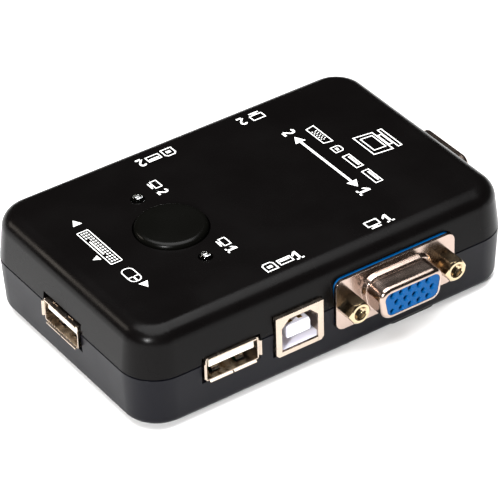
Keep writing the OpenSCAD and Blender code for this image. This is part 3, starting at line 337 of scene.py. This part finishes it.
def ring(points, width):
    """The strips that draw a closed outline with a line of that width."""
    strips = []
    n = len(points)
    middle = Vector((sum(p[0] for p in points) / n, sum(p[1] for p in points) / n))
    inner = []
    for i in range(n):
        a, b, c = (Vector(points[(i + k) % n]) for k in (-1, 0, 1))
        side1 = Vector((-(b - a).y, (b - a).x)).normalized()
        side2 = Vector((-(c - b).y, (c - b).x)).normalized()
        way = (side1 + side2).normalized()
        inner.append(b + way * width / max(0.3, way.dot(side1)))
    for i in range(n):
        k = (i + 1) % n
        strips.append([points[i], points[k], tuple(inner[k]), tuple(inner[i])])
    return strips


def bar(x0, y0, x1, y1):
    """A filled rectangle."""
    return [[(x0, y0), (x1, y0), (x1, y1), (x0, y1)]]


def rounded(x0, y0, x1, y1, r, steps=4):
    """The outline of a rectangle with round corners, anticlockwise."""
    corners = ((x1 - r, y1 - r, 0), (x0 + r, y1 - r, 90), (x0 + r, y0 + r, 180), (x1 - r, y0 + r, 270))
    return [(cx + r * math.cos(math.radians(a + 90 * i / steps)),
             cy + r * math.sin(math.radians(a + 90 * i / steps)))
            for cx, cy, a in corners for i in range(steps + 1)]


def moved(shapes, dx, dy=0.0, k=1.0):
    """The shapes at that place and scale."""
    return [[(dx + k * x, dy + k * y) for x, y in shape] for shape in shapes]


def arrow_head(size):
    """A triangle that points along X."""
    return [[(0, -size * 0.55), (size, 0), (0, size * 0.55)]]


def one(h):
    """The numeral 1, h high."""
    w = h * 0.2
    return bar(-w / 2, 0, w / 2, h) + bar(-w * 1.6, 0, w * 1.6, w * 0.7) + [[
        (-w / 2, h), (-w * 1.9, h - w * 1.5), (-w * 1.9, h - w * 2.4), (-w / 2, h - w * 1.3)]]


def two(h):
    """The numeral 2, h high."""
    w = h * 0.17
    r = h * 0.28
    arc = [math.radians(a) for a in range(160, -46, -20)]
    bow = [[((r - w / 2 + e) * math.cos(a), h - r + (r - w / 2 + e) * math.sin(a)) for a, e in
            ((a0, w / 2), (a1, w / 2), (a1, -w / 2), (a0, -w / 2))] for a0, a1 in zip(arc, arc[1:])]
    foot = [[(r * 0.78, h - r * 1.75), (r * 0.4, h - r * 1.45), (-r, w), (-r, 0), (-r * 0.6, 0),
             (-r * 0.3, w)]]
    return bow + foot + bar(-r, 0, r * 1.05, w)


def keyboard(length, h):
    """A keyboard: an outline with three rows of keys."""
    shapes = ring(rounded(0, 0, length, h, 0.3), 0.22)
    keys = int(length / 0.9) - 1
    for row in range(3):
        y = h * (0.22 + 0.22 * row)
        for k in range(keys):
            x = 0.5 + (k + 0.15) * (length - 1) / keys
            if row or not 2 < k < keys - 3:
                shapes += bar(x, y, x + 0.5, y + h * 0.12)
    return shapes + bar(length * 0.3, h * 0.22, length * 0.7, h * 0.34)


def mouse(length, h):
    """A mouse seen from above, its buttons at the right."""
    split = length * 0.62
    halves = bar(split, h * 0.06, split + 0.22, h * 0.94)
    return ring(rounded(0, 0, length, h, h * 0.45, 6), 0.24) + halves + bar(
        split, h * 0.44, length - 0.1, h * 0.56)


def desktop(h):
    """A monitor on a foot."""
    return ring(rounded(0, h * 0.28, h * 1.15, h, 0.15), h * 0.1) + bar(
        h * 0.42, h * 0.1, h * 0.73, h * 0.3) + bar(h * 0.15, 0, h, h * 0.13)


def square_port(h):
    """The outline of a USB-B socket with its tongue."""
    c = h * 0.2
    return ring([(0, 0), (h, 0), (h, h - c), (h - c, h), (c, h), (0, h - c)], h * 0.1) + bar(
        h * 0.3, h * 0.35, h * 0.7, h * 0.62)


def flat_port(length, h):
    """The outline of a USB-A socket with its tongue."""
    rim = ring([(0, 0), (length, 0), (length, h), (0, h)], 0.25)
    return rim + bar(length * 0.15, h * 0.52, length * 0.85, h * 0.75)


def d_port(length, h):
    """The outline of a D connector with three rows of pins."""
    lean = h * 0.18
    shapes = ring([(lean, 0), (length - lean, 0), (length, h), (0, h)], 0.25)
    for row, start in enumerate((0.26, 0.3, 0.26)):
        for k in range(5):
            x = length * (start + 0.11 * k)
            shapes += bar(x, h * (0.22 + 0.21 * row), x + 0.28, h * (0.22 + 0.21 * row) + 0.28)
    return shapes


print("numeral 2 is drawn with", len(two(3.0)), "outlines")

# %% Lay the marks on the cover


def printed(name, shapes, place, turn):
    """Ink outlines laid on the top: place is their origin from the case's middle, in millimetres."""
    made = bmesh.new()
    lie = Matrix.Translation((CASE.x + place[0] * MM, CASE.y + place[1] * MM, TOP_Z + INK)) @ Matrix.Rotation(
        math.radians(turn), 4, "Z")
    for shape in shapes:
        made.faces.new([made.verts.new(lie @ Vector((x * MM, y * MM, 0))) for x, y in shape])
    bmesh.ops.recalc_face_normals(made, faces=made.faces)
    for face in made.faces:
        if face.normal.z < 0:
            face.normal_flip()
    mesh = bpy.data.meshes.new(name)
    made.to_mesh(mesh)
    made.free()
    mark = bpy.data.objects.new(name, mesh)
    bpy.context.scene.collection.objects.link(mark)
    mark.data.materials.append(PRINT_INK)
    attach(mark, "case")
    return mark


DOWN_THE_TOP, ALONG_THE_FRONT, ALONG_THE_BACK = -90, 0, 180
marks = [
    printed("mark_console", keyboard(13.6, 2.9) + moved(mouse(5.2, 2.9), 16.4), (-37.0, 9.9), DOWN_THE_TOP),
    printed("mark_left", arrow_head(2.0), (-35.0, 12.4), 90),
    printed("mark_right", arrow_head(2.0), (-35.0, -12.6), -90),
    printed("mark_side", arrow_head(1.6), (-37.6, 0.0), 180),
    printed("mark_lamp_2", desktop(2.5) + moved(two(2.6), 4.6), (-15.2, 16.6), DOWN_THE_TOP),
    printed("mark_lamp_1", desktop(2.5) + moved(one(2.6), 4.6), (-15.2, -9.4), DOWN_THE_TOP),
    printed("mark_usb_front", square_port(2.9) + moved(flat_port(3.4, 2.0), 3.6, 0.4) + moved(one(2.9), 8.4),
            (-12.6, -25.2), ALONG_THE_FRONT),
    printed("mark_usb_back", square_port(2.9) + moved(flat_port(3.4, 2.0), 3.6, 0.4) + moved(two(2.9), 8.4),
            (-3.2, 25.2), ALONG_THE_BACK),
    printed("mark_monitor_front", desktop(2.9) + moved(one(2.9), 5.4), (13.2, -25.7), ALONG_THE_FRONT),
    printed("mark_monitor_back", desktop(2.9) + moved(two(2.9), 5.4), (20.3, 25.4), ALONG_THE_BACK),
    printed("mark_title", moved(two(3.1), 1.0) + bar(5.4, 1.25, 24.4, 1.85)
            + moved(arrow_head(2.4), 24.2, 1.55) + moved(one(3.1), 28.8)
            + moved([[(-x, y) for x, y in reversed(arrow_head(2.4)[0])]], 5.6, 1.55),
            (18.9, 15.3), DOWN_THE_TOP),
    printed("mark_ports", d_port(7.6, 2.4) + moved(square_port(2.4), 9.4)
            + moved(flat_port(5.4, 2.0), 13.6, 0.2)
            + moved(flat_port(5.4, 2.0), 20.6, 0.2), (24.0, 13.4), DOWN_THE_TOP),
    printed("mark_monitor", ring([(0, 0.6), (4.9, 0), (4.9, 7.9), (0, 8.6)], 0.28)
            + ring([(1.0, 1.9), (4.2, 1.7), (4.2, 7.0), (1.0, 7.3)], 0.28)
            + ring([(4.9, 1.8), (6.1, 1.8), (6.1, 6.2), (4.9, 6.2)], 0.25)
            + ring([(6.1, 0.1), (7.3, 0.1), (7.3, 7.9), (6.1, 7.9)], 0.28), (30.2, -4.4), ALONG_THE_FRONT),
]
print("laid", len(marks), "marks,", round((TOP_Z + INK) / MM, 3), "mm above the table")

# %% [markdown]
# ## Threads in the jackscrews
#
# Each jackscrew has a 4-40 thread: forty turns to the inch, so a pitch of 0.635 mm. The measured bore
# is as wide as the outside of the thread, and the thread itself is a V-shaped ridge that winds down
# the bore. It could be a curve with a bevel, but a strip of mesh gives the sharp crest of a cut thread.

# %% Wind the threads
PITCH = 25.4 / 40 * MM
BORE, CREST, THREAD_DEPTH, PER_TURN = 1.42 * MM, 1.14 * MM, 4.0 * MM, 32
COUNTERSINK, SPACING = 0.25 * MM, 24.99 * MM


def thread(name, front, out):
    """A V-shaped ridge wound into a bore that opens at front and faces out."""
    turn = out.to_track_quat("Z", "Y").to_matrix()
    points, faces = [], []
    steps = int(THREAD_DEPTH / PITCH * PER_TURN)
    for i in range(steps + 1):
        a, depth = 2 * math.pi * i / PER_TURN, COUNTERSINK + PITCH * i / PER_TURN
        for radius, down in ((BORE, 0.05), (CREST, 0.5), (BORE, 0.95)):
            place = Vector((radius * math.cos(a), radius * math.sin(a), -depth - down * PITCH))
            points.append(front + turn @ place)
    for i in range(steps):
        faces += [(3 * i + k, 3 * i + k + 1, 3 * i + k + 4, 3 * i + k + 3) for k in range(2)]
    mesh = bpy.data.meshes.new(name)
    mesh.from_pydata(points, [], faces)
    ridge = bpy.data.objects.new(name, mesh)
    bpy.context.scene.collection.objects.link(ridge)
    ridge.data.materials.append(JACK_NICKEL)
    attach(ridge, "case")
    return ridge


threads = []
for side, out in (("front", Vector((0, -1, 0))), ("back", Vector((0, 1, 0))), ("right", Vector((1, 0, 0)))):
    low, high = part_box("vga_%s_jackscrews" % side)
    across = Vector((abs(out.y), abs(out.x), 0))
    middle = (low + high) / 2
    face_y = {-1: low.y, 1: high.y, 0: middle.y}[round(out.y)]
    face = Vector((high.x if out.x else middle.x, face_y, middle.z))
    for sign in (-1, 1):
        centre = face + across * sign * SPACING / 2
        threads.append(thread("thread_%s_%d" % (side, sign + 2), centre, out))
print("wound", len(threads), "threads of", len(threads[0].data.polygons), "faces")

# %% [markdown]
# ## Floor and light
#
# The box stands on a plain white table in a nearly dark room. A large soft box hangs straight above: it
# whitens the table without shining back at the camera from the black top. A lower soft box behind on
# the left, slightly warm, draws the highlights on the metal, and a small one at the front left
# catches the case's corner.

# %% Lay the floor and hang the lights


def white_paper():
    """Matte white paper, very slightly mottled."""
    material, tree, output = new_material("white_paper")
    place = add(tree, "ShaderNodeTexCoord").outputs["Object"]
    mottle = add(tree, "ShaderNodeTexNoise", Vector=place, Scale=per_metre(40), Detail=2.0)
    shade = add(tree, "ShaderNodeMix", {"data_type": "RGBA"}, Factor=mottle.outputs["Fac"])
    shade.inputs[6].default_value, shade.inputs[7].default_value = linear("#f7f7f7"), linear("#fbfbfb")
    shader = add(tree, "ShaderNodeBsdfPrincipled", Base_Color=shade.outputs[2], Roughness=0.9)
    tree.links.new(shader.outputs[0], output.inputs["Surface"])
    return material


def floor_sheet(half):
    """A flat square sheet that lies on the table."""
    mesh = bpy.data.meshes.new("floor")
    corners = [(-half, -half, 0), (half, -half, 0), (half, half, 0), (-half, half, 0)]
    mesh.from_pydata(corners, [], [(0, 1, 2, 3)])
    sheet = bpy.data.objects.new("floor", mesh)
    bpy.context.scene.collection.objects.link(sheet)
    sheet.data.materials.append(white_paper())
    return sheet


def soft_box(name, place, size, watts, colour="#ffffff"):
    """A square soft box that faces the case."""
    lamp = bpy.data.lights.new(name, "AREA")
    lamp.shape, lamp.size, lamp.energy = "SQUARE", size, watts
    lamp.color = linear(colour)[:3]
    made = bpy.data.objects.new(name, lamp)
    bpy.context.scene.collection.objects.link(made)
    made.location = CASE + Vector(place)
    made.rotation_euler = (CASE - made.location).to_track_quat("-Z", "Y").to_euler()
    return made


floor = floor_sheet(3.0)
soft_box("top_light", (0.0, 0.0, 0.8), 0.9, 20.0)
soft_box("window_light", (-0.62, 0.74, 0.42), 0.24, 1.9, "#fff4e6")
soft_box("corner_light", (-0.587, -0.407, 0.366), 0.09, 8.0)
world = bpy.data.worlds.new("studio")
bpy.context.scene.world = world
world.use_nodes = True
world.node_tree.nodes["Background"].inputs[0].default_value = linear("#e6e2d8")
world.node_tree.nodes["Background"].inputs[1].default_value = 0.04
bpy.context.scene.view_settings.view_transform = "Standard"
print("floor and three soft boxes are in place")
